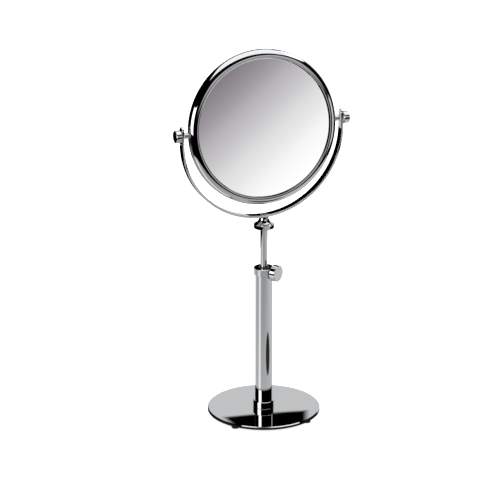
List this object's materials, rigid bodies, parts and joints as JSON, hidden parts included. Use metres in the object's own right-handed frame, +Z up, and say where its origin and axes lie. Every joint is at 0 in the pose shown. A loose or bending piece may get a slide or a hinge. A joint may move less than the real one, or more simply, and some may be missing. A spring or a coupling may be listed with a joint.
{
  "type": "extendable shaving mirror",
  "caption": "Free-standing round two-sided shaving mirror: tilting head in a strip yoke on a sliding, turning rod with a clamp knob, on a round weighted base.",
  "frame": {"origin": "on the table surface, under the middle of the round base", "axes": "+Z up along the stem; the plain mirror faces -Y; the tilt pivots lie along X"},
  "size_m": [0.2272, 0.141, 0.4717],
  "materials": {
    "chrome": "polished chrome plating",
    "steel": "plain zinc-plated steel",
    "rubber": "matt black rubber",
    "nylon": "natural nylon",
    "black_nylon": "black nylon",
    "brass": "turned brass",
    "plain_mirror": "flat silvered glass with a narrow ground edge",
    "magnifying_mirror": "concave silvered glass",
    "board": "pressed board packing"
  },
  "bodies": {
    "stand": {"base_plate": "chrome", "foot_1": "rubber", "foot_2": "rubber", "foot_3": "rubber", "foot_4": "rubber", "base_screw": "steel", "tube_plug": "steel", "base_collar": "chrome", "outer_tube": "chrome", "top_collar": "chrome", "guide_bush": "black_nylon"},
    "clamp_slide": {"clamp_pad": "brass"},
    "clamp_handle": {"clamp_screw": "steel", "clamp_knob": "chrome"},
    "guide": {"rod_guide": "nylon"},
    "stem": {"inner_rod": "chrome", "end_washer": "steel", "end_screw": "steel", "stem_hub": "chrome", "yoke": "chrome", "yoke_screw": "steel"},
    "head": {"core_ring": "steel", "front_rim": "chrome", "rear_rim": "chrome", "front_glass": "plain_mirror", "rear_glass": "magnifying_mirror", "backing_disc": "board", "spacer_ring": "board", "left_boss": "chrome", "right_boss": "chrome", "left_friction_washer": "nylon", "right_friction_washer": "nylon"},
    "left_knob_slide": {"left_knob_washer": "nylon"},
    "left_knob": {"left_pivot_screw": "steel", "left_pivot_knob": "chrome"},
    "right_knob_slide": {"right_knob_washer": "nylon"},
    "right_knob": {"right_pivot_screw": "steel", "right_pivot_knob": "chrome"}
  },
  "joints": [
    {"name": "height_slide", "type": "slide", "parent": "stand", "child": "guide", "axis": [0, 0, 1], "range_m": [-0.0507, 0.066]},
    {"name": "stem_swivel", "type": "hinge", "parent": "guide", "child": "stem", "pos_m": [0, 0, 0.3758], "axis": [0, 0, 1], "continuous": true},
    {"name": "mirror_tilt", "type": "hinge", "parent": "stem", "child": "head", "pos_m": [-0.0026, 0, 0.3758], "axis": [1, 0, 0], "continuous": true},
    {"name": "clamp_travel", "type": "slide", "parent": "stand", "child": "clamp_slide", "axis": [0.5736, -0.8192, 0], "range_m": [0, 0.0016]},
    {"name": "clamp_turn", "type": "hinge", "parent": "clamp_slide", "child": "clamp_handle", "pos_m": [0, 0, 0.1886], "axis": [0.5736, -0.8192, 0], "range_deg": [0, 720.5]},
    {"name": "left_knob_travel", "type": "slide", "parent": "head", "child": "left_knob_slide", "axis": [-1, 0, 0], "range_m": [0, 0.0008]},
    {"name": "left_knob_turn", "type": "hinge", "parent": "left_knob_slide", "child": "left_knob", "pos_m": [-0.0026, 0, 0.3758], "axis": [-1, 0, 0], "range_deg": [0, 360.5]},
    {"name": "right_knob_travel", "type": "slide", "parent": "head", "child": "right_knob_slide", "axis": [1, 0, 0], "range_m": [0, 0.0008]},
    {"name": "right_knob_turn", "type": "hinge", "parent": "right_knob_slide", "child": "right_knob", "pos_m": [-0.0026, 0, 0.3758], "axis": [1, 0, 0], "range_deg": [0, 360.5]}
  ],
  "couplings": [
    {"joint": "clamp_turn", "follows": "clamp_travel", "rad_per_m": 7854},
    {"joint": "left_knob_turn", "follows": "left_knob_travel", "rad_per_m": 7854},
    {"joint": "right_knob_turn", "follows": "right_knob_travel", "rad_per_m": 7854}
  ]
}
